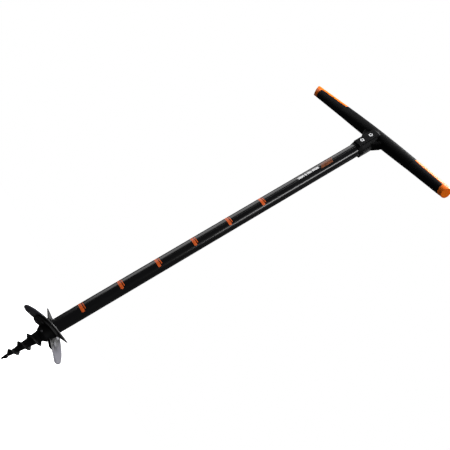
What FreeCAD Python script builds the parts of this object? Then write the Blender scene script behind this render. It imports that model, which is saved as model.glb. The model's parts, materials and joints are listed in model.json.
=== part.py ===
"""Hand auger for digging post holes: screw point, two cutting blades, steel shaft and T-handle.

Frame: the origin is the very tip of the screw point, +Z runs up the shaft, X runs along the
handle, and -Y is the front, where the depth marks and the heads of the handle bolts are.
"""
import FreeCAD, Part
import math
import os
import re

# Each size is a cell of the sheet: alias, millimetres (or degrees, or a plain ratio), meaning.
SIZES = [
    ("shaft_od", 35.0, "outside diameter of the steel tube"),
    ("shaft_wall", 2.0, "wall of the steel tube"),
    ("handle_above", 378.0, "distance from the highest depth mark to the middle of the handle"),
    ("slip_gap", 0.1, "clearance between a tube and what it slides into or over"),
    ("point_length", 94.0, "length of the cone of the screw point"),
    ("point_radius", 13.9, "radius of that cone at its wide end"),
    ("neck_length", 4.0, "distance from that wide end to the tube's lower end"),
    ("point_blunt", 2.2, "radius and height of the blunted tip"),
    ("shank_length", 58.0, "length of the point's shank inside the tube"),
    ("flange_thick", 1.5, "thickness of the point's flange, which carries the tube"),
    ("thread_pitch", 25.0, "rise of the point's thread in one turn"),
    ("thread_depth", 8.7, "full height of the thread above the cone"),
    ("thread_start", 5.0, "height where the thread begins"),
    ("thread_stop", 3.0, "distance from the thread's end to the wide end of the cone"),
    ("thread_land", 1.6, "flat on the crest of the thread"),
    ("thread_azimuth", 215.0, "direction of the thread's crest at thread_phase"),
    ("thread_phase", 22.8, "height of the crest in that direction"),
    ("hub_wall", 3.5, "wall of the blade carrier's hub around the tube"),
    ("hub_length", 29.0, "length of that hub"),
    ("hub_chamfer", 5.0, "height of the chamfer at the hub's foot"),
    ("hub_lip", 1.0, "wall of the hub at the very foot"),
    ("blade_level", 21.0, "distance from the tube's lower end to where both blades' planes cross"),
    ("blade_azimuth", 208.0, "direction of the first blade's leading tip"),
    ("blade_rise", 0.32, "slope of a blade from its leading tip to its trailing tip"),
    ("blade_tilt", 0.40, "slope of a blade from its cutting edge up to its rim"),
    ("blade_reach", 76.0, "distance from the axis to a leading tip"),
    ("blade_trail", 46.0, "distance from the axis to a trailing tip"),
    ("blade_beyond", 10.5, "distance from the hub to the rim, across the blade"),
    ("blade_back", 12.0, "distance from the axis to the cutting edge, across the blade"),
    ("blade_thick", 3.0, "thickness of a blade"),
    ("bevel_width", 7.0, "width of the ground bevel on the cutting edge"),
    ("bevel_angle", 24.0, "angle of that bevel"),
    ("wing_thick", 7.0, "thickness of the carrier's wing under a blade"),
    ("wing_beyond", 22.5, "distance from the hub to a wing's leading end"),
    ("wing_back", 9.0, "distance a wing reaches behind the axis"),
    ("outer_bolt_beyond", 12.0, "distance from the hub to the outer blade bolt"),
    ("outer_bolt_angle", 5.0, "direction of that bolt, from the blade's leading tip towards its rim"),
    ("inner_bolt_beyond", 8.2, "distance from the hub to the inner blade bolt"),
    ("inner_bolt_angle", 44.0, "direction of that bolt, from the blade's leading tip towards its rim"),
    ("blade_bolt_radius", 3.0, "shank radius of a blade bolt"),
    ("blade_head_radius", 5.2, "radius of a blade bolt's countersunk head"),
    ("blade_head_height", 2.2, "height of that head"),
    ("blade_nut_radius", 5.7, "corner radius of a blade bolt's nut"),
    ("blade_nut_height", 5.0, "height of that nut"),
    ("nut_proud", 0.5, "how far a nut stands out of its pocket in the wing"),
    ("hub_pin_rise", 5.0, "distance from the tube's lower end to the pin across the hub"),
    ("hub_pin_turn", 14.0, "turn of that pin away from the front"),
    ("hub_pin_radius", 2.5, "radius of that pin"),
    ("hub_pin_proud", 0.8, "length of the bevelled end that stands out of the hub"),
    ("arm_half", 255.0, "half the length of the handle"),
    ("arm_height", 34.4, "height of the handle's section at the middle"),
    ("arm_depth", 39.0, "depth of the handle's section at the middle"),
    ("grip_length", 98.0, "length of a grip along its middle"),
    ("grip_height", 33.5, "height of a grip at its inner end"),
    ("grip_depth", 31.6, "depth of a grip at its inner end"),
    ("cap_length", 25.0, "length of an end cap along its middle"),
    ("cap_slant", 0.14, "slope of the seam between grip and cap, further out below"),
    ("cap_end", 3.5, "distance from the handle's end to where its oblique face crosses the middle"),
    ("end_front", 0.30, "slope of that face, which leaves the front shorter than the back"),
    ("end_below", 0.45, "slope of that face, which leaves the underside shorter than the top"),
    ("cap_rim", 16.0, "distance from an end cap's end to its widest section"),
    ("cap_lift", 1.6, "how much the middle of a cap's end lies above the middle of its widest section"),
    ("rim_height", 29.6, "height of that widest section"),
    ("rim_depth", 28.2, "depth of that widest section"),
    ("cap_dome", 6.0, "length of the rounded part of an end cap"),
    ("dimple_radius", 1.3, "radius of the small dimple on a cap's front"),
    ("dimple_back", 2.0, "distance from the cap's widest section back to that dimple"),
    ("dimple_rise", 6.0, "height of that dimple above the middle of the core"),
    ("core_radius", 10.5, "radius of the handle's core inside a grip"),
    ("core_bore", 8.0, "radius of the hollow in that core"),
    ("bore_start", 34.0, "distance from the axis to where that hollow begins"),
    ("plug_length", 18.0, "length of an end cap's plug inside the core"),
    ("plug_wall", 2.2, "wall of that plug"),
    ("inlay_thick", 12.2, "depth of the coloured shell along the top of a grip"),
    ("sleeve_wall", 3.6, "wall of the handle's sleeve around the shaft"),
    ("sleeve_drop", 79.0, "distance from the middle of the handle to the sleeve's mouth"),
    ("lip_height", 12.0, "height of the bevel at the sleeve's mouth"),
    ("lip_wall", 1.0, "wall of the sleeve at its very mouth"),
    ("socket_depth", 15.0, "distance from the middle of the handle to the top of the shaft"),
    ("pad_width", 24.0, "width of the flat pads on the sleeve's front and back"),
    ("pad_proud", 2.2, "height of a pad above the sleeve"),
    ("pad_top", 4.0, "distance from the middle of the handle down to the pads' upper end"),
    ("pad_rise", 6.0, "distance from the sleeve's mouth up to the pads' lower end"),
    ("web_reach", 32.0, "distance from the axis to the end of the web under an arm"),
    ("web_drop", 38.0, "distance from the middle of the handle to the web's lower end"),
    ("web_thick", 25.0, "thickness of that web"),
    ("upper_bolt_drop", 24.5, "distance from the middle of the handle to the upper bolt"),
    ("handle_bolt_spacing", 29.5, "distance between the two handle bolts"),
    ("handle_bolt_radius", 3.0, "shank radius of a handle bolt"),
    ("handle_head_radius", 5.25, "head radius of a handle bolt"),
    ("handle_head_height", 3.2, "head height of a handle bolt"),
    ("drive_radius", 2.3, "radius of the drive socket in that head"),
    ("drive_depth", 2.0, "depth of that socket"),
    ("handle_nut_radius", 5.7, "corner radius of a handle bolt's nut"),
    ("handle_nut_height", 4.8, "height of that nut"),
    ("mark_spacing", 100.0, "distance between two depth marks"),
    ("mark_first", 105.0, "distance from the tube's lower end to the lowest depth mark"),
    ("mark_height", 12.0, "height of a depth mark"),
    ("mark_angle", 96.0, "part of the shaft that a depth mark goes round"),
    ("film_thick", 0.2, "thickness of the printed film of marks and label"),
    ("label_drop", 266.0, "distance from the middle of the handle to the label's lower end"),
    ("label_white", 66.0, "length of the label's white bar"),
    ("label_gap", 4.0, "gap between the white bar and the orange patch"),
    ("label_orange", 47.0, "length of the label's orange patch"),
    ("white_angle", 34.0, "part of the shaft that the white bar goes round"),
    ("orange_angle", 64.0, "part of the shaft that the orange patch goes round"),
]
MARK_COUNT = 6
THREAD_POINTS = 16          # points of each thread curve in one turn
SECTION_POINTS = 24         # points of a handle section
SECTION_POWER = 2.35        # 2 would be an ellipse, more is squarer
NODES = []

doc = FreeCAD.newDocument("post_hole_digger")
sheet = doc.addObject("Spreadsheet::Sheet", "sizes")
for row, (alias, number, meaning) in enumerate(SIZES, start=1):
    sheet.set("A%d" % row, alias)
    sheet.set("B%d" % row, repr(number))
    sheet.set("C%d" % row, meaning)
    sheet.setAlias("B%d" % row, alias)
doc.recompute()

ALIASES = re.compile(r"\b(%s)\b" % "|".join(alias for alias, _, _ in SIZES))
SHAFT_BASE = "(point_length + neck_length)"
THREAD_END = "(point_length - thread_stop)"
HUB = "(shaft_od / 2 + hub_wall)"
BLADE_HEIGHT = "(point_length + neck_length + blade_level)"
BLADE_FRONT = "(shaft_od / 2 + hub_wall + blade_beyond)"
WING_REACH = "(shaft_od / 2 + hub_wall + wing_beyond)"
FIRST_MARK = "(point_length + neck_length + mark_first)"
HANDLE = "(point_length + neck_length + mark_first + %d * mark_spacing + handle_above)" % (MARK_COUNT - 1)
SLEEVE = "(shaft_od / 2 + sleeve_wall)"
PAD_FACE = "(shaft_od / 2 + sleeve_wall + pad_proud)"
UNDERSIDE = "(%s - arm_height / 2)" % HANDLE
CORE_HEIGHT = "(%s + (grip_height + rim_height) / 4)" % UNDERSIDE
LOWER_BOLT = "(%s - upper_bolt_drop - handle_bolt_spacing)" % HANDLE
UPPER_BOLT = "(%s - upper_bolt_drop)" % HANDLE
SEAM = "(arm_half - cap_length)"
RIM = "(arm_half - cap_rim)"
GRIP_START = "(arm_half - cap_length - grip_length)"


def formula(text):
    """Turns the aliases in a formula into references to the sheet's cells."""
    return ALIASES.sub(r"sizes.\1", text)


def size(text):
    """The value of a formula of aliases, for shapes that are worked out here."""
    return float(doc.sizes.evalExpression(formula(text).replace("sizes.", "")))


def bind(thing, **formulas):
    """Binds properties to formulas; x, y and z stand for the placement's base."""
    for name, text in formulas.items():
        target = "Placement.Base." + name if name in ("x", "y", "z") else name
        thing.setExpression(target, formula(text))
    return thing


def node(thing, label):
    """Marks an object as a finished sub-part of its own."""
    thing.Label = label
    NODES.append(thing)
    return thing


def rod(name, radius, length, x="0", y="0", z="0", turn=None):
    """A cylinder from (x, y, z) along +Z, or along where turn takes +Z."""
    thing = doc.addObject("Part::Cylinder", name)
    if turn is not None:
        thing.Placement = FreeCAD.Placement(FreeCAD.Vector(), turn)
    return bind(thing, Radius=radius, Height=length, x=x, y=y, z=z)


def hexagon(name, radius, length, x="0", y="0", z="0", turn=None):
    """A six-sided prism, placed as rod places its cylinder."""
    thing = doc.addObject("Part::Prism", name)
    thing.Polygon = 6
    if turn is not None:
        thing.Placement = FreeCAD.Placement(FreeCAD.Vector(), turn)
    return bind(thing, Circumradius=radius, Height=length, x=x, y=y, z=z)


def block(name, length, width, height, x, y, z):
    thing = doc.addObject("Part::Box", name)
    return bind(thing, Length=length, Width=width, Height=height, x=x, y=y, z=z)


def fused(name, shapes):
    thing = doc.addObject("Part::MultiFuse", name)
    thing.Shapes = shapes
    thing.Refine = True
    return thing


def group(name, shapes):
    """Separate solids that share one node."""
    thing = doc.addObject("Part::Compound", name)
    thing.Links = shapes
    return thing


def cut(name, base, tool):
    thing = doc.addObject("Part::Cut", name)
    thing.Base = base
    thing.Tool = tool
    return thing


def common(name, first, second):
    thing = doc.addObject("Part::Common", name)
    thing.Base = first
    thing.Tool = second
    return thing


def feature(name, shape, placement=None):
    """A shape made with Part's own functions, where no primitive fits."""
    thing = doc.addObject("Part::Feature", name)
    thing.Shape = shape
    if placement is not None:
        thing.Placement = placement
    return thing


def spin(degrees, axis=(0, 0, 1)):
    return FreeCAD.Rotation(FreeCAD.Vector(*axis), degrees)


TO_FRONT = spin(90, (1, 0, 0))       # takes +Z to -Y
TO_BACK = spin(-90, (1, 0, 0))       # takes +Z to +Y
TO_RIGHT = spin(90, (0, 1, 0))       # takes +Z to +X
TO_LEFT = spin(-90, (0, 1, 0))       # takes +Z to -X


def outline_body(name, plane, corners):
    """A PartDesign body with a closed sketch through corners, each a pair of formulas."""
    import Sketcher
    body = doc.addObject("PartDesign::Body", name)
    sketch = body.newObject("Sketcher::SketchObject", name + "_outline")
    origin_plane = [f for f in body.Origin.OriginFeatures if f.Role == plane][0]
    sketch.AttachmentSupport = [(origin_plane, "")]
    sketch.MapMode = "FlatFace"
    spots = [FreeCAD.Vector(size(x), size(y), 0) for x, y in corners]
    count = len(spots)
    for i in range(count):
        sketch.addGeometry(Part.LineSegment(spots[i], spots[(i + 1) % count]), False)
    for i in range(count):
        sketch.addConstraint(Sketcher.Constraint("Coincident", i, 2, (i + 1) % count, 1))
    for i, (x, y) in enumerate(corners):
        for kind, text, number in (("DistanceX", x, spots[i].x), ("DistanceY", y, spots[i].y)):
            place = sketch.addConstraint(Sketcher.Constraint(kind, -1, 1, i, 1, number))
            sketch.setExpression("Constraints[%d]" % place, formula(text))
    return body, sketch


# ---------------------------------------------------------------- screw point
def core_radius_at(height):
    """Radius of the point's cone at a height."""
    share = (height - size("point_blunt")) / (size("point_length") - size("point_blunt"))
    return size("point_blunt") + (size("point_radius") - size("point_blunt")) * share


def thread_depth_at(height):
    """The thread grows quickly at the tip, then slowly, and fades out over its last quarter turn."""
    quick = 0.15 + 0.85 * min(1.0, (height - size("thread_start")) / (0.6 * size("thread_pitch")))
    slow = 0.6 + 0.4 * height / size("point_length")
    fade = min(1.0, (size(THREAD_END) - height) / (size("thread_pitch") / 4))
    return size("thread_depth") * quick * slow * (0.25 + 0.75 * max(0.0, fade))


def thread_curve(side, crest):
    """One edge of the thread: side is -1 below the crest and +1 above it."""
    start, end, pitch = size("thread_start"), size(THREAD_END), size("thread_pitch")
    count = int((end - start) / pitch * THREAD_POINTS)
    points = []
    for i in range(count + 1):
        height = start + (end - start) * i / count
        angle = math.radians(size("thread_azimuth") + 360 * (height - size("thread_phase")) / pitch)
        depth = thread_depth_at(height)
        if crest:
            radius = core_radius_at(height) + depth
            level = height + side * size("thread_land") / 2
        else:
            level = height + side * (0.75 * depth + size("thread_land") / 2)
            radius = 0.75 * core_radius_at(level)
        points.append(FreeCAD.Vector(radius * math.cos(angle), radius * math.sin(angle), level))
    curve = Part.BSplineCurve()
    curve.interpolate(Points=points, Parameters=list(range(count + 1)))
    return curve


def ribbon(first, second):
    """The ruled face between two thread curves, which share their knots."""
    surface = Part.BSplineSurface()
    surface.buildFromPolesMultsKnots([first.getPoles(), second.getPoles()], (2, 2), first.getMultiplicities(),
                                     (0, 1), first.getKnots(), False, False, 1, first.Degree)
    return surface.toShape()


def thread_ridge():
    """The thread as a closed solid, rooted inside the cone."""
    curves = [thread_curve(-1, False), thread_curve(-1, True), thread_curve(1, True), thread_curve(1, False)]
    faces = [ribbon(curves[i], curves[(i + 1) % 4]) for i in range(4)]
    for corners in ([curve.StartPoint for curve in curves], [curve.EndPoint for curve in curves]):
        faces += [Part.Face(Part.makePolygon([corners[0], corners[i], corners[i + 1], corners[0]]))
                  for i in (1, 2)]
    shell = Part.makeShell(faces)
    shell.sewShape()
    solid = Part.makeSolid(shell)
    solid.fix(0.001, 0.001, 0.001)
    if solid.Volume < 0:
        solid.reverse()
    return solid


def hub_pin_axis():
    """Turn that takes +Z to the front end of the pin across the hub."""
    return spin(size("hub_pin_turn")).multiply(TO_FRONT)


def along_hub_pin(distance):
    """Formulas for the point at a distance from the axis, along the hub's pin."""
    return {"x": "sin(hub_pin_turn) * " + distance, "y": "-cos(hub_pin_turn) * " + distance,
            "z": SHAFT_BASE + " + hub_pin_rise"}


def hub_pin_hole(name, radius):
    return rod(name, radius, "4 * " + HUB, turn=hub_pin_axis(), **along_hub_pin("(-2 * %s)" % HUB))


def make_screw_tip():
    tube = "(shaft_od / 2)"
    shank = "(shaft_od / 2 - shaft_wall - slip_gap)"
    body, sketch = outline_body("point_core", "XZ_Plane", [
        ("0", "0"),
        ("point_blunt", "point_blunt"),
        ("point_radius", "point_length"),
        (tube, SHAFT_BASE + " - flange_thick"),
        (tube, SHAFT_BASE),
        (shank, SHAFT_BASE),
        (shank, SHAFT_BASE + " + shank_length - 2"),
        (shank + " - 2", SHAFT_BASE + " + shank_length"),
        ("0", SHAFT_BASE + " + shank_length"),
    ])
    turned = body.newObject("PartDesign::Revolution", "point_turned")
    turned.Profile = sketch
    turned.ReferenceAxis = (sketch, ["V_Axis"])
    turned.Angle = 360
    body.Tip = turned
    threaded = fused("point_threaded", [body, feature("point_thread", thread_ridge())])
    drilled = cut("point_drilled", threaded, hub_pin_hole("point_pin_hole", "hub_pin_radius + slip_gap"))
    node(drilled, "screw_tip")


# ---------------------------------------------------------------- blades and their carrier
def blade_frame(turn):
    """X towards the leading tip, Y towards the rim, Z up through the blade's underside."""
    azimuth = math.radians(size("blade_azimuth") + turn)
    along = FreeCAD.Vector(math.cos(azimuth), math.sin(azimuth), -size("blade_rise"))
    across = FreeCAD.Vector(-math.sin(azimuth), math.cos(azimuth), size("blade_tilt"))
    normal = along.cross(across)
    rotation = FreeCAD.Rotation(along, FreeCAD.Vector(), normal, "ZXY")
    return FreeCAD.Placement(FreeCAD.Vector(0, 0, size(BLADE_HEIGHT)), rotation)


def on_blade(turn, along, across):
    """The point of a blade's plane that stands over a place given in plan."""
    azimuth = math.radians(size("blade_azimuth") + turn)
    level = size(BLADE_HEIGHT) - size("blade_rise") * along + size("blade_tilt") * across
    return FreeCAD.Vector(along * math.cos(azimuth) - across * math.sin(azimuth),
                          along * math.sin(azimuth) + across * math.cos(azimuth), level)


def plate(name, turn, pieces, thickness, lift):
    """A flat plate in a blade's plane. Each piece is a list of plan points: 2 a line, more a curve."""
    frame = blade_frame(turn)
    inverse = frame.inverse()
    edges = []
    for piece in pieces:
        spots = [inverse.multVec(on_blade(turn, *spot)) for spot in piece]
        if len(spots) == 2:
            edges.append(Part.LineSegment(*spots).toShape())
            continue
        curve = Part.BSplineCurve()
        curve.interpolate(spots)
        edges.append(curve.toShape())
    outline = feature(name + "_outline", Part.Face(Part.Wire(edges)), frame)
    solid = doc.addObject("Part::Extrusion", name)
    solid.Base = outline
    solid.DirMode = "Normal"
    solid.Solid = True
    solid.setExpression("LengthFwd", formula(thickness if lift else "0"))
    solid.setExpression("LengthRev", formula("0" if lift else thickness))
    return solid


def blade_outline():
    """Leaf shape: rounded leading lobe, bulging rim, pointed trailing tip."""
    reach, trail = size("blade_reach"), size("blade_trail")
    front, back = size(BLADE_FRONT), size("blade_back")
    lobe_back = (0.87 * reach, -back)
    lobe_front = (0.93 * reach, 0.5 * front)
    tip = (-trail, 0.14 * front)
    return [
        [(0.16 * reach, -0.95 * back), lobe_back],
        [lobe_back, (0.955 * reach, -0.45 * back), (0.998 * reach, 0.12 * front), lobe_front],
        [lobe_front, (0.77 * reach, 0.77 * front), (0.5 * reach, 0.94 * front), (0.23 * reach, 0.98 * front),
         (0.02 * reach, 0.87 * front), (-0.45 * trail, 0.55 * front), tip],
        [tip, (-0.43 * trail, -0.4 * back)],
        [(-0.43 * trail, -0.4 * back), (0.16 * reach, -0.95 * back)],
    ]


def wing_outline():
    """The casting's wing stays inside the blade above it and leaves both its tips bare."""
    reach, trail = size(WING_REACH), size("blade_trail")
    front, back = size(BLADE_FRONT), size("wing_back")
    corner = (0.8 * reach, -back)
    shoulder = (0.88 * reach, 0.72 * front)
    heel = (-0.45 * trail, 0.4 * front)
    heel_back = (-0.45 * trail, 0.08 * front)
    return [
        [(0.1 * reach, -back), corner],
        [corner, (reach, 0.12 * front), shoulder],
        [shoulder, (0.5 * reach, 0.88 * front), (0.1 * reach, 0.8 * front), (-0.2 * trail, 0.62 * front), heel],
        [heel, heel_back],
        [heel_back, (0, 0)],
        [(0, 0), (0.1 * reach, -back)],
    ]


def blade_spots():
    """Plan points of a blade's two bolts, the outer one first."""
    spots = []
    for name in ("outer", "inner"):
        out = size(HUB) + size(name + "_bolt_beyond")
        angle = math.radians(size(name + "_bolt_angle"))
        spots.append((out * math.cos(angle), out * math.sin(angle)))
    return spots


def upright(kind, name, turn, spot, level, **formulas):
    """A primitive square to a blade, from a level above the blade's underside."""
    rotation = blade_frame(turn).Rotation
    up = rotation.multVec(FreeCAD.Vector(0, 0, 1))
    thing = doc.addObject(kind, name)
    thing.Placement = FreeCAD.Placement(on_blade(turn, *spot) + up * size(level), rotation)
    return bind(thing, **formulas)


def countersunk(name, turn, spot):
    """The cone of a bolt's head, flush with the blade's upper face."""
    return upright("Part::Cone", name, turn, spot, "blade_thick - blade_head_height",
                   Radius1="blade_bolt_radius", Radius2="blade_head_radius", Height="blade_head_height")


def bevel_tool(name, turn):
    """Block whose underside planes the cutting edge down to the blade's lower face."""
    frame = blade_frame(turn)
    back_edge = blade_outline()[0]
    ends = [frame.inverse().multVec(on_blade(turn, *spot)) for spot in back_edge]
    heading = math.degrees(math.atan2(ends[1].y - ends[0].y, ends[1].x - ends[0].x))
    tool = doc.addObject("Part::Box", name)
    slope = spin(heading).multiply(spin(size("bevel_angle"), (1, 0, 0)))
    start = FreeCAD.Placement(ends[0], slope)
    shift = FreeCAD.Placement(FreeCAD.Vector(-0.3 * size("blade_reach"), -20, 0.6), FreeCAD.Rotation())
    tool.Placement = frame.multiply(start).multiply(shift)
    tool.setExpression("Length", formula("1.6 * blade_reach"))
    tool.setExpression("Width", formula("20 + bevel_width"))
    tool.Height = 30
    return tool


def make_blade(label, turn):
    flat = plate(label + "_plate", turn, blade_outline(), "blade_thick", True)
    openings = [rod(label + "_notch", HUB + " + slip_gap", "4 * hub_length", z=SHAFT_BASE + " - hub_length")]
    for i, spot in enumerate(blade_spots()):
        tag = "%s_%d" % (label, i)
        openings.append(upright("Part::Cylinder", tag + "_hole", turn, spot, "-blade_thick",
                                Radius="blade_bolt_radius + slip_gap", Height="3 * blade_thick"))
        openings.append(countersunk(tag + "_sink", turn, spot))
    ground = cut(label + "_ground", flat, bevel_tool(label + "_bevel", turn))
    node(cut(label + "_cut", ground, fused(label + "_openings", openings)), label)


def make_carrier():
    """Hub with a bevelled foot and two wings, which carry the blades and hold their nuts."""
    foot = doc.addObject("Part::Cone", "carrier_foot")
    bind(foot, Radius1="shaft_od / 2 + hub_lip", Radius2=HUB, Height="hub_chamfer", z=SHAFT_BASE)
    hub = rod("carrier_hub", HUB, "hub_length - hub_chamfer", z=SHAFT_BASE + " + hub_chamfer")
    wings = [plate("carrier_wing_%d" % turn, turn, wing_outline(), "wing_thick", False) for turn in (0, 180)]
    casting = fused("carrier_casting", [foot, hub] + wings)
    openings = [hub_pin_hole("carrier_pin_hole", "hub_pin_radius")]
    openings.append(rod("carrier_bore", "shaft_od / 2 + slip_gap", "4 * hub_length",
                        z=SHAFT_BASE + " - hub_length"))
    openings.append(rod("carrier_below", "blade_reach", "hub_length", z=SHAFT_BASE + " - hub_length"))
    for turn in (0, 180):
        for i, spot in enumerate(blade_spots()):
            tag = "%d_%d" % (turn, i)
            openings.append(upright("Part::Cylinder", "carrier_hole_" + tag, turn, spot, "-1.5 * wing_thick",
                                    Radius="blade_bolt_radius + slip_gap", Height="2 * wing_thick"))
            openings.append(upright("Part::Prism", "carrier_pocket_" + tag, turn, spot,
                                    "-wing_thick - nut_proud - blade_nut_height",
                                    Circumradius="blade_nut_radius + slip_gap",
                                    Height="2 * blade_nut_height"))
    node(cut("carrier_machined", casting, fused("carrier_openings", openings)), "blade_carrier")


def make_blade_fasteners():
    """Countersunk bolts through blade and wing; each nut sits in a pocket below the wing."""
    bolts, nuts = [], []
    foot = "-(wing_thick + nut_proud)"
    for turn in (0, 180):
        for i, spot in enumerate(blade_spots()):
            tag = "%d_%d" % (turn, i)
            shank = upright("Part::Cylinder", "blade_shank_" + tag, turn, spot, foot,
                            Radius="blade_bolt_radius", Height="wing_thick + nut_proud + blade_thick")
            bolts.append(fused("blade_bolt_" + tag, [shank, countersunk("blade_head_" + tag, turn, spot)]))
            nut = upright("Part::Prism", "blade_nut_block_" + tag, turn, spot, foot,
                          Circumradius="blade_nut_radius", Height="blade_nut_height")
            hole = upright("Part::Cylinder", "blade_nut_hole_" + tag, turn, spot, "2 * " + foot,
                           Radius="blade_bolt_radius", Height="2 * wing_thick")
            nuts.append(cut("blade_nut_" + tag, nut, hole))
    node(group("blade_bolt_set", bolts), "blade_bolts")
    node(group("blade_nut_set", nuts), "blade_nuts")


def make_hub_pin():
    """Pin driven through hub, tube and point, with a bevelled end on each side."""
    pieces = [rod("hub_pin_shank", "hub_pin_radius", "2 * " + HUB, turn=hub_pin_axis(),
                  **along_hub_pin("(-%s)" % HUB))]
    backwards = hub_pin_axis().multiply(spin(180, (1, 0, 0)))
    for name, sign, turn in (("front", "", hub_pin_axis()), ("back", "-", backwards)):
        end = doc.addObject("Part::Cone", "hub_pin_" + name)
        end.Placement = FreeCAD.Placement(FreeCAD.Vector(), turn)
        bind(end, Radius1="hub_pin_radius", Radius2="hub_pin_radius - hub_pin_proud",
             Height="hub_pin_proud", **along_hub_pin("(%s%s)" % (sign, HUB)))
        pieces.append(end)
    node(fused("hub_pin", pieces), "hub_cross_pin")


# ---------------------------------------------------------------- shaft and its markings
def handle_bolt_holes(name, radius):
    """A hole right through the sleeve and the shaft for each handle bolt."""
    return [rod("%s_%d" % (name, i), radius, "4 * " + SLEEVE, y="2 * " + SLEEVE, z=level, turn=TO_FRONT)
            for i, level in enumerate((LOWER_BOLT, UPPER_BOLT))]


def make_shaft():
    height = "%s - socket_depth - %s" % (HANDLE, SHAFT_BASE)
    outer = rod("tube_outer", "shaft_od / 2", height, z=SHAFT_BASE)
    inner = rod("tube_inner", "shaft_od / 2 - shaft_wall", height + " + 20", z=SHAFT_BASE + " - 10")
    holes = handle_bolt_holes("tube_bolt_hole", "handle_bolt_radius + slip_gap")
    holes.append(hub_pin_hole("tube_pin_hole", "hub_pin_radius + slip_gap"))
    node(cut("tube", outer, fused("tube_openings", [inner] + holes)), "shaft_tube")


def film(label, base, length, angle):
    """A thin printed patch that wraps part of the shaft, centred on its front."""
    patch = rod(label + "_patch", "shaft_od / 2 + film_thick", length, z=base)
    patch.Placement.Rotation = spin(-90 - size(angle) / 2)
    bind(patch, Angle=angle)
    shaft = rod(label + "_inside", "shaft_od / 2", "2 * (%s)" % length, z="%s - (%s) / 2" % (base, length))
    node(cut(label + "_film", patch, shaft), label)


def make_markings():
    for i in range(MARK_COUNT):
        film("depth_mark_%d" % (i + 1), "%s + %d * mark_spacing - mark_height / 2" % (FIRST_MARK, i),
             "mark_height", "mark_angle")
    label_base = "%s - label_drop" % HANDLE
    film("label_white_bar", label_base, "label_white", "white_angle")
    film("label_orange_patch", label_base + " + label_white + label_gap", "label_orange", "orange_angle")


# ---------------------------------------------------------------- handle
def section(name, station, height, depth):
    """A rounded section of the handle, standing on its straight underside."""
    half_high, half_deep = size(height) / 2, size(depth) / 2
    centre = size(UNDERSIDE) + half_high
    points = []
    for i in range(SECTION_POINTS):
        angle = 2 * math.pi * i / SECTION_POINTS
        c, s = math.cos(angle), math.sin(angle)
        points.append(FreeCAD.Vector(
            station,
            half_deep * math.copysign(abs(c) ** (2 / SECTION_POWER), c),
            centre + half_high * math.copysign(abs(s) ** (2 / SECTION_POWER), s)))
    curve = Part.BSplineCurve()
    curve.interpolate(points, True)
    return feature(name, Part.Wire([curve.toShape()]))


def lofted(name, sections):
    thing = doc.addObject("Part::Loft", name)
    thing.Sections = sections
    thing.Solid = True
    thing.Ruled = False
    return thing


def arm_skin(name, side):
    """The outer shape of one arm, from the grip's inner end to the middle of the cap's dome."""
    dome = size("cap_dome")
    straight = size("cap_rim") - dome
    grip = lofted(name + "_long", [
        section(name + "_inner", side * size(GRIP_START), "grip_height", "grip_depth"),
        section(name + "_rim", side * size(RIM), "rim_height", "rim_depth")])
    rings = [cap_ring("%s_ring_%d" % (name, i), side * (size(RIM) + out), share)
             for i, (out, share) in enumerate([
                 (0.0, 1.0), (straight, 0.975), (straight + 0.55 * dome, 0.86),
                 (straight + 0.9 * dome, 0.6), (straight + dome, 0.34)])]
    whole = fused(name + "_whole", [grip, lofted(name + "_dome", rings)])
    return cut(name, whole, arm_end(name + "_end", side))


def cap_ring(name, station, share):
    """The cap's widest section, scaled by share and lifted as it gets smaller."""
    ring = section(name, 0, "rim_height", "rim_depth")
    centre = size(UNDERSIDE) + size("rim_height") / 2
    scale = FreeCAD.Matrix()
    scale.scale(1, share, share)
    shape = ring.Shape.copy()
    shape.translate(FreeCAD.Vector(0, 0, -centre))
    shape = shape.transformGeometry(scale)
    shape.translate(FreeCAD.Vector(station, 0, centre + (1 - share) * size("cap_lift")))
    ring.Shape = shape
    return ring


def beyond(name, side, station, front, up):
    """Block that holds all beyond a plane across an arm, whose outward normal is (side, front, up)."""
    middle = FreeCAD.Vector(side * size(station), 0, size(UNDERSIDE) + size("rim_height") / 2)
    turn = FreeCAD.Rotation(FreeCAD.Vector(1, 0, 0), FreeCAD.Vector(side, front, up))
    reach = size("arm_height")
    thing = doc.addObject("Part::Box", name)
    thing.Placement = FreeCAD.Placement(middle, turn).multiply(
        FreeCAD.Placement(FreeCAD.Vector(0, -reach, -reach), FreeCAD.Rotation()))
    return bind(thing, Length="2 * arm_height", Width="2 * arm_height", Height="2 * arm_height")


def cap_space(name, side):
    return beyond(name, side, SEAM, 0, size("cap_slant"))


def arm_end(name, side):
    """What the oblique end face takes off an arm."""
    return beyond(name, side, "(arm_half - cap_end)", -size("end_front"), -size("end_below"))


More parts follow.
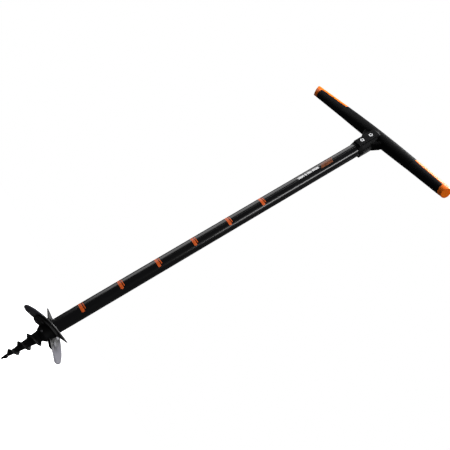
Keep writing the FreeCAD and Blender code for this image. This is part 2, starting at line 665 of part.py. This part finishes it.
def make_handle_body():
    start = size(GRIP_START)
    arms = lofted("handle_arms", [
        section("arm_left", -start, "grip_height", "grip_depth"),
        section("arm_middle", 0, "arm_height", "arm_depth"),
        section("arm_right", start, "grip_height", "grip_depth")])
    full_core = rod("handle_core_rod", "core_radius", "2 * arm_half", x="-arm_half", z=CORE_HEIGHT,
                    turn=TO_RIGHT)
    core = cut("handle_core", full_core, fused("handle_core_ends", [
        cap_space("handle_core_end_left", -1), cap_space("handle_core_end_right", 1)]))
    mouth = "%s - sleeve_drop" % HANDLE
    sleeve = rod("handle_sleeve", SLEEVE, "sleeve_drop - lip_height", z=mouth + " + lip_height")
    lip = doc.addObject("Part::Cone", "handle_lip")
    bind(lip, Radius1="shaft_od / 2 + lip_wall", Radius2=SLEEVE, Height="lip_height", z=mouth)
    pads = block("handle_pads", "pad_width", "2 * " + PAD_FACE, "sleeve_drop - pad_rise - pad_top",
                 "-pad_width / 2", "-" + PAD_FACE, mouth + " + pad_rise")
    web, sketch = outline_body("handle_web", "XZ_Plane", [
        ("-web_reach", HANDLE),
        ("-web_reach", UNDERSIDE + " - 3"),
        ("-%s + 1" % SLEEVE, HANDLE + " - web_drop"),
        ("%s - 1" % SLEEVE, HANDLE + " - web_drop"),
        ("web_reach", UNDERSIDE + " - 3"),
        ("web_reach", HANDLE),
    ])
    pad = web.newObject("PartDesign::Pad", "handle_web_pad")
    pad.Profile = sketch
    pad.Midplane = True
    pad.setExpression("Length", formula("web_thick"))
    web.Tip = pad
    solid = fused("handle_solid", [arms, core, sleeve, lip, pads, web])
    openings = handle_bolt_holes("handle_bolt_hole", "handle_bolt_radius + slip_gap")
    openings.append(rod("handle_socket", "shaft_od / 2 + slip_gap", "sleeve_drop - socket_depth + 10",
                        z=mouth + " - 10"))
    for name, sign, turn in (("left", "-", TO_LEFT), ("right", "", TO_RIGHT)):
        openings.append(rod("handle_hollow_" + name, "core_bore", "arm_half", x=sign + "bore_start",
                            z=CORE_HEIGHT, turn=turn))
    for i, level in enumerate((LOWER_BOLT, UPPER_BOLT)):
        openings.append(rod("handle_head_seat_%d" % i, "handle_head_radius + slip_gap", "20", z=level,
                            y="-%s + handle_head_height" % PAD_FACE, turn=TO_FRONT))
        openings.append(hexagon("handle_nut_seat_%d" % i, "handle_nut_radius + slip_gap", "20", z=level,
                                y="%s - handle_nut_height" % PAD_FACE, turn=TO_BACK))
    node(cut("handle_moulding", solid, fused("handle_openings", openings)), "handle_body")


def make_handle_fasteners():
    bolts, nuts = [], []
    for i, level in enumerate((LOWER_BOLT, UPPER_BOLT)):
        seat = "-%s + handle_head_height" % PAD_FACE
        shank = rod("handle_shank_%d" % i, "handle_bolt_radius",
                    "2 * %s - handle_head_height - 0.6" % PAD_FACE, y=seat, z=level, turn=TO_BACK)
        head = rod("handle_head_%d" % i, "handle_head_radius", "handle_head_height", y=seat, z=level,
                   turn=TO_FRONT)
        drive = hexagon("handle_drive_%d" % i, "drive_radius", "20", z=level, turn=TO_FRONT,
                        y="-%s + drive_depth" % PAD_FACE)
        bolts.append(cut("handle_bolt_%d" % i, fused("handle_blank_%d" % i, [shank, head]), drive))
        nut = hexagon("handle_nut_block_%d" % i, "handle_nut_radius", "handle_nut_height", z=level,
                      y="%s - handle_nut_height" % PAD_FACE, turn=TO_BACK)
        hole = rod("handle_nut_hole_%d" % i, "handle_bolt_radius", "60", z=level, turn=TO_BACK)
        nuts.append(cut("handle_nut_%d" % i, nut, hole))
    node(group("handle_bolt_set", bolts), "handle_bolts")
    node(group("handle_nut_set", nuts), "handle_nuts")


def inlay_block(name, side):
    """Block that follows the sloping top of a grip, as deep as the coloured shell."""
    start, rim = size(GRIP_START), size(RIM)
    slope = spin(side * math.degrees(math.atan2(size("grip_height") - size("rim_height"), rim - start)),
                 (0, 1, 0))
    spare = 0.1 * (rim - start)
    reach = rim - start + 2 * spare
    top = FreeCAD.Vector(side * start, 0, size(UNDERSIDE) + size("grip_height") - size("inlay_thick"))
    corner = FreeCAD.Vector(-spare if side > 0 else spare - reach, -size("grip_depth"), 0)
    thing = doc.addObject("Part::Box", name)
    thing.Placement = FreeCAD.Placement(top, slope).multiply(FreeCAD.Placement(corner, FreeCAD.Rotation()))
    thing.Length = reach
    return bind(thing, Width="2 * grip_depth", Height="2 * inlay_thick")


def make_grip(name, side):
    """Soft grip over the core, with a coloured shell along its top."""
    turn = TO_RIGHT if side > 0 else TO_LEFT
    long_skin = cut(name + "_trimmed", arm_skin(name + "_skin", side), cap_space(name + "_end", side))
    core = rod(name + "_core_space", "core_radius", "arm_half", z=CORE_HEIGHT, turn=turn)
    skin = cut(name + "_bored", long_skin, core)
    node(cut(name + "_sleeve", skin, inlay_block(name + "_shell_space", side)), name + "_grip")
    node(common(name + "_shell", skin, inlay_block(name + "_shell_block", side)), name + "_top_inlay")


def make_end_cap(name, side):
    """Domed cap with a hollow plug that pushes into the end of the core."""
    inward = TO_LEFT if side > 0 else TO_RIGHT
    plug_start = "%d * (%s + core_bore)" % (side, SEAM)
    dome = common(name + "_cap_dome", arm_skin(name + "_cap_skin", side), cap_space(name + "_cap_side", side))
    plug = rod(name + "_cap_plug", "core_bore - slip_gap", "core_bore + plug_length", x=plug_start,
               z=CORE_HEIGHT, turn=inward)
    hollow = rod(name + "_cap_hollow", "core_bore - slip_gap - plug_wall", "4 * plug_length",
                 x=plug_start, z=CORE_HEIGHT, turn=inward)
    dimple = rod(name + "_cap_dimple", "dimple_radius", "rim_depth", turn=TO_FRONT,
                 x="%d * (%s - dimple_back)" % (side, RIM), y="-rim_depth / 2 + 5",
                 z=CORE_HEIGHT + " + dimple_rise")
    solid = fused(name + "_cap_solid", [dome, plug])
    node(cut(name + "_cap", solid, fused(name + "_cap_openings", [hollow, dimple])), name + "_end_cap")


def check_and_write():
    doc.recompute()
    for thing in doc.Objects:
        state = " ".join(thing.State)
        if "Invalid" in state or "Error" in state:
            raise RuntimeError("%s did not build: %s" % (thing.Label, state))
    os.makedirs("parts", exist_ok=True)
    for thing in NODES:
        shape = thing.Shape
        if shape.isNull() or not shape.isValid() or not shape.Solids:
            raise RuntimeError("%s has no valid solid" % thing.Label)
        shape.exportStep("parts/%s.step" % thing.Label)
        print("%-20s solids %d volume %9.1f" % (thing.Label, len(shape.Solids), shape.Volume))


make_screw_tip()
make_carrier()
for blade, blade_turn in (("cutting_blade_a", 0), ("cutting_blade_b", 180)):
    make_blade(blade, blade_turn)
make_blade_fasteners()
make_hub_pin()
make_shaft()
make_markings()
make_handle_body()
make_handle_fasteners()
for arm, arm_side in (("left", -1), ("right", 1)):
    make_grip(arm, arm_side)
    make_end_cap(arm, arm_side)
check_and_write()
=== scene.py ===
"""Looks of the post hole digger: materials, finer pieces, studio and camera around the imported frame."""
import json
import math

import bmesh
import bpy
from mathutils import Matrix, Vector


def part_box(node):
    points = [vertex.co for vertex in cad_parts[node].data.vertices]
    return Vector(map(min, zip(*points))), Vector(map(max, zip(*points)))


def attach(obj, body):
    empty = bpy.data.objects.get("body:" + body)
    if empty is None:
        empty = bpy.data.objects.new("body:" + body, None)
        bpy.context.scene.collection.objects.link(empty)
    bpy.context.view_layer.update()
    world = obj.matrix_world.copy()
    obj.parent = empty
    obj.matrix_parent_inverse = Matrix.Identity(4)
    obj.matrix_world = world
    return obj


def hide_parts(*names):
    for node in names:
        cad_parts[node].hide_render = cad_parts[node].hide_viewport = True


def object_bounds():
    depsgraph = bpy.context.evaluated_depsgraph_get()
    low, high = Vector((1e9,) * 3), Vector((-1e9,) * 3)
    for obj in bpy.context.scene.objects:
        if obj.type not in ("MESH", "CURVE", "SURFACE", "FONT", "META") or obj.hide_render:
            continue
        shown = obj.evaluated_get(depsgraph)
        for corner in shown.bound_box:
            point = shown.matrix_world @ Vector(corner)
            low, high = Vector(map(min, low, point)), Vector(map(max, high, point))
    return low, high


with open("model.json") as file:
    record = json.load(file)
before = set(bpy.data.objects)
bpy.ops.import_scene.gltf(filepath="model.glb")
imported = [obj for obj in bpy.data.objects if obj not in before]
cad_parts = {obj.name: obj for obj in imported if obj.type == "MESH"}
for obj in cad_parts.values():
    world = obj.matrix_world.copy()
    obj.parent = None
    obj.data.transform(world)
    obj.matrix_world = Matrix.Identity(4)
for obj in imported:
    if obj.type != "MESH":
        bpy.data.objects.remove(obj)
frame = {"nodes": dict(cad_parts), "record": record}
cad_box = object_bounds()
NODES = frame["nodes"]
SHAFT_RADIUS = (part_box("shaft_tube")[1].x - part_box("shaft_tube")[0].x) / 2
SCENE = bpy.context.scene
MM = 0.001
FILM = 0.2 * MM              # thickness of the print on the shaft
SHARP = math.radians(35)     # edges that turn more than this stay sharp

# ------------------------------------------------------------------ camera: metres and degrees
CAMERA_AZIMUTH = 35.0
CAMERA_ELEVATION = -15.9
CAMERA_ROLL = 59.53
CAMERA_DISTANCE = 1.4714
CAMERA_LENS = 48.0
AIM_HEIGHT = 0.5396          # share of the object's height
AIM_RIGHT = -0.0035


def rgb(red, green, blue):
    """Linear colour from 0 to 255 screen values."""
    return tuple(((v / 255 + 0.055) / 1.055) ** 2.4 if v > 10 else v / 255 / 12.92
                 for v in (red, green, blue)) + (1.0,)


# ------------------------------------------------------------------ materials
class Shader:
    """A material under construction: a Principled shader and helpers that add nodes before it."""

    def __init__(self, name, color, roughness, metallic=0.0, **sockets):
        self.material = bpy.data.materials.new(name)
        self.material.use_nodes = True
        self.tree = self.material.node_tree
        self.shader = self.tree.nodes["Principled BSDF"]
        self.set("Base Color", color)
        self.set("Roughness", roughness)
        self.set("Metallic", metallic)
        for socket, value in sockets.items():
            self.set(socket.replace("_", " "), value)
        self.where = self.tree.nodes.new("ShaderNodeTexCoord").outputs["Object"]

    def set(self, socket, value):
        self.shader.inputs[socket].default_value = value

    def link(self, output, socket):
        self.tree.links.new(output, self.shader.inputs[socket])

    def node(self, kind, inputs=None, **settings):
        """A new node; an input that is a socket gets linked, and any other is a plain value."""
        made = self.tree.nodes.new(kind)
        for name, value in settings.items():
            setattr(made, name, value)
        for key, value in (inputs or {}).items():
            if isinstance(value, bpy.types.NodeSocket):
                self.tree.links.new(value, made.inputs[key])
            else:
                made.inputs[key].default_value = value
        return made

    def stretched(self, scale):
        """The object's coordinates in metres, scaled along each axis."""
        return self.node("ShaderNodeMapping", {"Vector": self.where, "Scale": scale}).outputs[0]

    def noise(self, scale, detail=4.0, rough=0.55, stretch=None, warp=0.0):
        """Soft random pattern from 0 to 1; a larger scale is finer."""
        where = self.stretched(stretch) if stretch else self.where
        return self.node("ShaderNodeTexNoise", {"Vector": where, "Scale": scale, "Detail": detail,
                                                "Roughness": rough, "Distortion": warp}).outputs["Fac"]

    def cells(self, scale):
        """Distance from the middle of each of many random cells."""
        return self.node("ShaderNodeTexVoronoi", {"Vector": self.where, "Scale": scale}).outputs["Distance"]

    def ramp(self, factor, low, high, start=0.0, end=1.0):
        """Values or colours from low to high as factor goes from start to end."""
        made = self.node("ShaderNodeValToRGB", {"Fac": factor})
        for stop, place, value in zip(made.color_ramp.elements, (start, end), (low, high)):
            stop.position = place
            stop.color = value if isinstance(value, tuple) else (value, value, value, 1)
        return made.outputs["Color"]

    def mix(self, factor, first, second):
        return self.node("ShaderNodeMixRGB", {"Fac": factor, "Color1": first, "Color2": second}).outputs[0]

    def math(self, operation, *values):
        return self.node("ShaderNodeMath", dict(enumerate(values)), operation=operation).outputs[0]

    def bump(self, height, distance, strength=1.0):
        """Relief up to a distance in metres; several calls add up."""
        inputs = {"Height": height, "Distance": distance, "Strength": strength}
        if self.shader.inputs["Normal"].is_linked:
            inputs["Normal"] = self.shader.inputs["Normal"].links[0].from_socket
        self.link(self.node("ShaderNodeBump", inputs).outputs["Normal"], "Normal")


def powder_coat():
    """Black semi-gloss coat of the shaft, with faint streaks along it and a few rubbed places."""
    m = Shader("shaft_powder_coat", rgb(7, 7, 8), 0.2, Specular_IOR_Level=0.5)
    m.link(m.ramp(m.noise(26, detail=6, stretch=(1, 1, 0.16)), 0.19, 0.29, 0.45, 0.75), "Roughness")
    m.link(m.mix(m.ramp(m.noise(34, detail=5), 0.0, 0.5, 0.5, 0.85), rgb(6, 6, 8), rgb(15, 15, 17)),
           "Base Color")
    m.bump(m.noise(220, detail=2), 0.03 * MM, 0.25)
    return m.material


def casting():
    """Painted iron casting: pitted skin, slightly lighter where soil has polished it."""
    m = Shader("carrier_black_casting", rgb(7, 7, 8), 0.5, Specular_IOR_Level=0.18)
    grain = m.noise(420, detail=6, rough=0.65)
    worn = m.ramp(m.noise(55, detail=6), 0.0, 1.0, 0.5, 0.75)
    m.link(m.mix(worn, rgb(6, 6, 7), rgb(18, 18, 20)), "Base Color")
    m.link(m.ramp(grain, 0.40, 0.62), "Roughness")
    m.bump(grain, 0.3 * MM, 0.35)
    m.bump(m.noise(90, detail=3), 0.8 * MM, 0.25)
    return m.material


def blade_steel():
    """Hardened blade steel, ground along the blade, near black close to the hub."""
    m = Shader("blade_ground_steel", rgb(98, 97, 105), 0.5)
    ground = m.noise(120, detail=8, stretch=(1.6, 9, 4))
    stain = m.noise(30, detail=5, warp=0.6)
    color = m.mix(m.ramp(ground, 0.0, 0.6, 0.35, 0.7), rgb(76, 75, 83), rgb(102, 101, 109))
    color = m.mix(m.ramp(stain, 0.0, 0.5, 0.48, 0.8), color, rgb(74, 73, 80))
    from_axis = m.node("ShaderNodeVectorMath", {0: m.stretched((1, 1, 0))}, operation="LENGTH")
    ragged = m.math("MULTIPLY", m.noise(60, detail=6), 12 * MM)
    edge = m.math("ADD", from_axis.outputs["Value"], ragged)
    reach = 100 * MM             # the ramp's whole length, out from the shaft's axis
    # near black and not metallic out to 42 to 58 mm from the shaft's axis, with a ragged edge; steel
    # further out
    away_from_hub = m.ramp(m.math("MULTIPLY", edge, 1 / reach), 0.0, 1.0, 42 * MM / reach, 58 * MM / reach)
    m.link(m.mix(away_from_hub, rgb(9, 9, 10), color), "Base Color")
    m.link(m.math("MULTIPLY", away_from_hub, 0.35), "Metallic")
    m.link(m.ramp(ground, 0.42, 0.62), "Roughness")
    m.bump(ground, 0.2 * MM, 0.35)
    return m.material


def plating(m):
    """Colour of bright zinc plating; gives it a mottled gloss too."""
    m.link(m.ramp(m.noise(500, detail=5), 0.2, 0.45), "Roughness")
    return m.mix(m.noise(260, detail=4), rgb(226, 228, 230), rgb(246, 246, 247))


def zinc():
    """Bright plating of the handle's nuts; the other bright fasteners have finishes of their own."""
    m = Shader("fastener_zinc", rgb(232, 233, 235), 0.35, metallic=0.2)
    m.link(plating(m), "Base Color")
    return m.material


def zinc_with_painted_socket_shade():
    """The handle bolts' plating, with painted shade in the drive sockets: the middle of each head is
    painted near black.
    """
    m = Shader("fastener_zinc_heads", rgb(232, 233, 235), 0.35, metallic=0.2)
    low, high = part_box("handle_bolts")
    head_radius = (high.x - low.x) / 2
    bolt_offset = (high.z - low.z) / 2 - head_radius
    place = m.node("ShaderNodeSeparateXYZ", {0: m.where}).outputs
    from_middle = m.math("ABSOLUTE", m.math("SUBTRACT", place["Z"], (low.z + high.z) / 2))
    along = m.math("SUBTRACT", from_middle, bolt_offset)
    square = m.math("ADD", m.math("MULTIPLY", place["X"], place["X"]), m.math("MULTIPLY", along, along))
    share = m.math("DIVIDE", m.math("SQRT", square), head_radius)
    # painted shade: near black inside each drive socket, bright plating round it
    m.link(m.mix(m.ramp(share, 0.0, 1.0, 0.46, 0.58), rgb(12, 12, 13), plating(m)), "Base Color")
    return m.material


def dull_zinc():
    """The same plating after use: the low fasteners are scuffed and stained by soil."""
    m = Shader("fastener_zinc_dull", rgb(96, 96, 100), 0.5, metallic=0.6)
    m.link(m.ramp(m.noise(500, detail=5), 0.4, 0.6), "Roughness")
    m.link(m.mix(m.noise(260, detail=4), rgb(70, 70, 74), rgb(120, 120, 124)), "Base Color")
    return m.material


def black_oxide():
    """Blackened steel of the blade nuts."""
    m = Shader("fastener_black_oxide", rgb(30, 30, 32), 0.42, metallic=0.8)
    m.link(m.ramp(m.noise(420, detail=5), 0.32, 0.55), "Roughness")
    m.link(m.mix(m.noise(300, detail=4), rgb(24, 24, 27), rgb(44, 44, 47)), "Base Color")
    return m.material


def printed_film(name, color, faded):
    """Screen print on the shaft: solid ink that is a little thin in places."""
    m = Shader(name, color, 0.4)
    m.link(m.mix(m.ramp(m.noise(260, detail=6), 0.0, 0.7, 0.45, 0.8), color, faded), "Base Color")
    m.link(m.ramp(m.noise(500, detail=3), 0.32, 0.5), "Roughness")
    m.bump(m.noise(900, detail=2), 0.04 * MM, 0.4)
    return m.material


def handle_plastic():
    """Glass-filled nylon with a fine spark-eroded grain."""
    m = Shader("handle_grained_nylon", rgb(5, 5, 6), 0.5, Specular_IOR_Level=0.08)
    grain = m.noise(900, detail=3, rough=0.6)
    m.link(m.mix(m.ramp(m.noise(70, detail=5), 0.0, 0.6, 0.4, 0.8), rgb(4, 4, 5), rgb(10, 10, 11)),
           "Base Color")
    m.link(m.ramp(grain, 0.46, 0.6), "Roughness")
    m.bump(grain, 0.15 * MM, 0.35)
    m.bump(m.noise(240, detail=4), 0.2 * MM, 0.2)
    return m.material


def grip_rubber():
    """Soft over-moulding: matt, with a very fine dimpled skin."""
    m = Shader("grip_soft_rubber", rgb(6, 5, 9), 0.66, Specular_IOR_Level=0.1)
    dimples = m.ramp(m.cells(520), 0.0, 1.0, 0.05, 0.5)
    m.link(m.mix(m.noise(60, detail=5), rgb(5, 4, 7), rgb(11, 9, 15)), "Base Color")
    m.link(m.ramp(dimples, 0.74, 0.6), "Roughness")
    m.bump(dimples, 0.2 * MM, 0.35)
    return m.material


def orange_plastic():
    """Satin moulded plastic of the inlays and end caps."""
    m = Shader("trim_orange_plastic", rgb(252, 114, 6), 0.4, Subsurface_Weight=0.04,
               Specular_IOR_Level=0.3)
    m.link(m.mix(m.ramp(m.noise(40, detail=5), 0.0, 0.5, 0.45, 0.8), rgb(254, 120, 8), rgb(244, 100, 5)),
           "Base Color")
    m.link(m.ramp(m.noise(300, detail=4), 0.3, 0.46), "Roughness")
    m.bump(m.noise(700, detail=2), 0.06 * MM, 0.3)
    return m.material


MATERIALS = {
    "carrier_casting": casting(),
    "blade_steel": blade_steel(),
    "black_fastener": black_oxide(),
    "bright_fastener": zinc(),
    "shaft_paint": powder_coat(),
    "mark_orange": printed_film("mark_orange_print", rgb(230, 98, 26), rgb(150, 52, 14)),
    "label_white": printed_film("label_white_print", rgb(235, 235, 236), rgb(150, 150, 153)),
    "handle_plastic": handle_plastic(),
    "grip_rubber": grip_rubber(),
    "trim_orange": orange_plastic(),
}


def finish_nodes():
    """Gives every CAD node the material of its slot in the record, or its own version of it."""
    worn = dull_zinc()
    special = {"blade_bolts": worn, "hub_cross_pin": worn, "handle_bolts": zinc_with_painted_socket_shade()}
    for part in frame["record"]["subparts"]:
        thing = NODES[part["node"]]
        thing.data.materials.clear()
        thing.data.materials.append(special.get(part["node"], MATERIALS[part["material_slot"]]))


# ------------------------------------------------------------------ finer pieces
def new_piece(name, mesh, slot, *nodes):
    """A mesh that stands for CAD nodes and takes its finish from a slot."""
    piece = bpy.data.objects.new(name, mesh)
    SCENE.collection.objects.link(piece)
    mesh.materials.clear()
    mesh.materials.append(MATERIALS[slot])
    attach(piece, "root")
    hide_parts(*nodes)
    return piece


def shaped(node, *modifiers):
    """A CAD node's mesh, shaded smooth, after modifiers that are each (kind, settings)."""
    scratch = bpy.data.objects.new("scratch", NODES[node].data.copy())
    SCENE.collection.objects.link(scratch)
    clean(scratch.data)
    for kind, settings in modifiers:
        modifier = scratch.modifiers.new(kind.lower(), kind)
        for name, value in settings.items():
            setattr(modifier, name, value)
    depsgraph = bpy.context.evaluated_depsgraph_get()
    mesh = bpy.data.meshes.new_from_object(scratch.evaluated_get(depsgraph))
    bpy.data.objects.remove(scratch)
    mesh.shade_smooth()
    return mesh


def clean(mesh):
    """Joins the triangles' shared corners, so that the surface is closed."""
    shape = bmesh.new()
    shape.from_mesh(mesh)
    bmesh.ops.remove_doubles(shape, verts=shape.verts, dist=1e-6)
    shape.to_mesh(mesh)
    shape.free()


def softened(node, slot, voxel, passes):
    """The node with the soft edges and small fillets of a casting or moulding."""
    mesh = shaped(
        node,
        ("REMESH", {"mode": "VOXEL", "voxel_size": voxel, "use_smooth_shade": True}),
        ("SMOOTH", {"factor": 0.5, "iterations": passes}))
    return new_piece(node + "_moulded", mesh, slot, node)


def rounded(node, slot):
    """The node with its round faces shaded round."""
    mesh = shaped(node)
    mesh.set_sharp_from_angle(angle=SHARP)
    return new_piece(node + "_coated", mesh, slot, node)


def eased(node, slot, width):
    """The node with its sharp edges broken by a narrow bevel, as after grinding."""
    mesh = shaped(
        node,
        ("DECIMATE", {"decimate_type": "DISSOLVE", "angle_limit": math.radians(1)}),
        ("BEVEL", {"width": width, "segments": 2, "limit_method": "ANGLE",
                   "angle_limit": math.radians(30), "harden_normals": True}))
    mesh.set_sharp_from_angle(angle=SHARP)
    return new_piece(node + "_ground", mesh, slot, node)


def corner_pull(inset, corner):
    """How far a stroke's end is pulled in near its side, so that its corner is round."""
    if inset >= corner:
        return 0.0
    return corner - math.sqrt(max(0.0, corner ** 2 - (corner - inset) ** 2))


def print_stroke(shape, width, low, high, slant=0.0, corner=0.0, columns=16):
    """One closed printed stroke on the shaft's front, added to a bmesh.

    It is width wide round the shaft and reaches from low to high; slant leans its ends, and
    corner rounds them.
    """
    rings = []
    for i in range(columns + 1):
        across = (i / columns - 0.5) * width
        pull = corner_pull(width / 2 - abs(across), corner)
        bottom, top = low + pull, high - pull
        lean = slant * across / width
        angle = -math.pi / 2 + across / SHAFT_RADIUS
        ring = []
        for level, out in ((bottom, 0), (top, 0), (top, FILM), (bottom, FILM)):
            r = SHAFT_RADIUS + out
            ring.append(shape.verts.new((r * math.cos(angle), r * math.sin(angle), level + lean)))
        rings.append(ring)
    for first, second in zip(rings, rings[1:]):
        for k in range(4):
            shape.faces.new((first[k], second[k], second[(k + 1) % 4], first[(k + 1) % 4]))
    shape.faces.new(rings[0])
    shape.faces.new(reversed(rings[-1]))


def printed(name, node, slot, strokes):
    """A printed piece made of strokes, in place of a CAD film."""
    low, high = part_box(node)
    shape = bmesh.new()
    for stroke in strokes(low.z, high.z):
        print_stroke(shape, **stroke)
    bmesh.ops.recalc_face_normals(shape, faces=shape.faces)
    mesh = bpy.data.meshes.new(name)
    shape.to_mesh(mesh)
    shape.free()
    return new_piece(name, mesh, slot, node)


def depth_mark(low, high):
    """A rounded band with a thin line above it."""
    run = high - low
    width = 1.66 * SHAFT_RADIUS
    return [{"width": width, "low": low, "high": low + 0.62 * run, "corner": 1.6 * MM},
            {"width": 0.7 * width, "low": low + 0.8 * run, "high": high, "corner": 0.8 * MM}]


def white_bars(low, high):
    """A row of plain dashes, in place of lettering."""
    run = high - low
    shares = ((0.0, 0.30), (0.33, 0.42), (0.45, 0.66), (0.69, 1.0))
    return [{"width": 6 * MM, "low": low + a * run, "high": low + b * run, "slant": 2 * MM,
             "corner": 1.2 * MM, "columns": 8} for a, b in shares]


def orange_patch(low, high):
    """Fine slanting lines round the shaft that read as a half-tone patch."""
    count, margin, inked = 12, 5 * MM, 0.45
    pitch = (high - low - 2 * margin) / count
    starts = [low + margin + i * pitch for i in range(count)]
    return [{"width": 16 * MM, "low": start, "high": start + inked * pitch, "slant": -8 * MM,
             "columns": 8} for start in starts]


def make_pieces():
    """Every finer piece, each in place of its CAD node."""
    softened("handle_body", "handle_plastic", 1.2 * MM, 12)
    softened("screw_tip", "carrier_casting", 0.6 * MM, 3)
    softened("blade_carrier", "carrier_casting", 0.7 * MM, 5)
    for side in ("left", "right"):
        softened(side + "_grip", "grip_rubber", 0.7 * MM, 2)
        softened(side + "_top_inlay", "trim_orange", 0.6 * MM, 2)
        softened(side + "_end_cap", "trim_orange", 0.7 * MM, 4)
    rounded("shaft_tube", "shaft_paint")
    for blade in ("cutting_blade_a", "cutting_blade_b"):
        eased(blade, "blade_steel", 0.35 * MM)
    for node in sorted(name for name in NODES if name.startswith("depth_mark_")):
        printed(node.replace("mark", "band"), node, "mark_orange", depth_mark)
    printed("label_dashes", "label_white_bar", "label_white", white_bars)
    patch = printed("label_patch", "label_orange_patch", "mark_orange", orange_patch)
    patch.data.materials[0] = printed_film("label_faded_print", rgb(168, 92, 46), rgb(104, 46, 16))


# ------------------------------------------------------------------ studio: metres, degrees and watts
WORLD_SEEN = 1.0             # strength of the backdrop for the camera
WORLD_FELT = 0.09            # strength of the same for the surfaces
FLOOR_REACH = 30.0
PANEL_DISTANCE = 2.5


def panel(name, width, height, power, place, target):
    """A rectangle of light at a place, turned to a target and hidden from the camera."""
    data = bpy.data.lights.new(name, "AREA")
    data.shape = "RECTANGLE"
    data.size, data.size_y = width, height
    data.energy = power
    lamp = bpy.data.objects.new(name, data)
    SCENE.collection.objects.link(lamp)
    lamp.location = place
    lamp.rotation_euler = (Vector(target) - Vector(place)).to_track_quat("-Z", "Y").to_euler()
    lamp.visible_camera = False


def upright_panel(name, azimuth, low, high, width, power):
    """A panel that stands beside the shaft and faces it; azimuth 0 is along +X."""
    a = math.radians(azimuth)
    middle = (low + high) / 2
    panel(name, width, high - low, power,
          place=(PANEL_DISTANCE * math.cos(a), PANEL_DISTANCE * math.sin(a), middle),
          target=(0, 0, middle))


def make_world():
    """White to the eye, dim to the surfaces, so that black parts stay black."""
    world = bpy.data.worlds.new("studio")
    SCENE.world = world
    world.use_nodes = True
    tree = world.node_tree
    tree.nodes.clear()
    output = tree.nodes.new("ShaderNodeOutputWorld")
    mixer = tree.nodes.new("ShaderNodeMixShader")
    for socket, strength in ((1, WORLD_FELT), (2, WORLD_SEEN)):
        backdrop = tree.nodes.new("ShaderNodeBackground")
        backdrop.inputs["Color"].default_value = (1, 1, 1, 1)
        backdrop.inputs["Strength"].default_value = strength
        tree.links.new(backdrop.outputs[0], mixer.inputs[socket])
    path = tree.nodes.new("ShaderNodeLightPath")
    tree.links.new(path.outputs["Is Camera Ray"], mixer.inputs["Fac"])
    tree.links.new(mixer.outputs[0], output.inputs["Surface"])


def make_floor():
    """A plain floor that glows a little, so that it stays as pale as the backdrop."""
    data = bpy.data.meshes.new("studio_floor")
    corners = [(x * FLOOR_REACH, y * FLOOR_REACH, 0) for x, y in ((-1, -1), (1, -1), (1, 1), (-1, 1))]
    data.from_pydata(corners, [], [(0, 1, 2, 3)])
    floor = bpy.data.objects.new("studio_floor", data)
    floor.location.z = cad_box[0].z - MM
    SCENE.collection.objects.link(floor)
    m = Shader("studio_floor_white", (0.9, 0.9, 0.9, 1), 0.9, Emission_Color=(1, 1, 1, 1),
               Emission_Strength=1.0)
    m.link(m.mix(m.noise(3, detail=2), (0.88, 0.88, 0.88, 1), (0.92, 0.92, 0.92, 1)), "Base Color")
    data.materials.append(m.material)
    floor.visible_glossy = False
    floor.visible_diffuse = False


def make_lights():
    """Two upright panels for the shaft's bright lines, one above and one high behind."""
    upright_panel("left_panel", azimuth=-152, low=0.3, high=2.8, width=2.3, power=40)
    upright_panel("front_strip", azimuth=-17, low=1.25, high=2.8, width=0.55, power=34)
    panel("top_panel", width=1.4, height=1.2, power=145, place=(0.15, -0.35, 3.0), target=(0, 0, 0.9))
    panel("back_panel", width=2.4, height=1.4, power=70, place=(0.3, 2.2, 3.4), target=(0, 0, 0.5))


def make_camera():
    """A low viewpoint that looks up at the handle, rolled so that the tool lies aslant."""
    a, e, roll = (math.radians(v) for v in (CAMERA_AZIMUTH, CAMERA_ELEVATION, CAMERA_ROLL))
    back = Vector((math.sin(a) * math.cos(e), -math.cos(a) * math.cos(e), math.sin(e)))
    right = (-back).cross(Vector((0, 0, 1))).normalized()
    up = right.cross(-back)
    data = bpy.data.cameras.new("camera")
    data.lens = CAMERA_LENS
    data.sensor_width = 36.0
    camera = bpy.data.objects.new("camera", data)
    SCENE.collection.objects.link(camera)
    rolled_right = right * math.cos(roll) + up * math.sin(roll)
    rolled_up = up * math.cos(roll) - right * math.sin(roll)
    turn = Matrix((rolled_right, rolled_up, back)).transposed()
    target = Vector((0, 0, AIM_HEIGHT * cad_box[1].z)) + right * AIM_RIGHT
    camera.matrix_world = Matrix.Translation(target + back * CAMERA_DISTANCE) @ turn.to_4x4()
    SCENE.camera = camera


finish_nodes()
make_pieces()
make_world()
make_floor()
make_lights()
make_camera()
SCENE.view_settings.view_transform = "Standard"
SCENE.view_settings.look = "None"
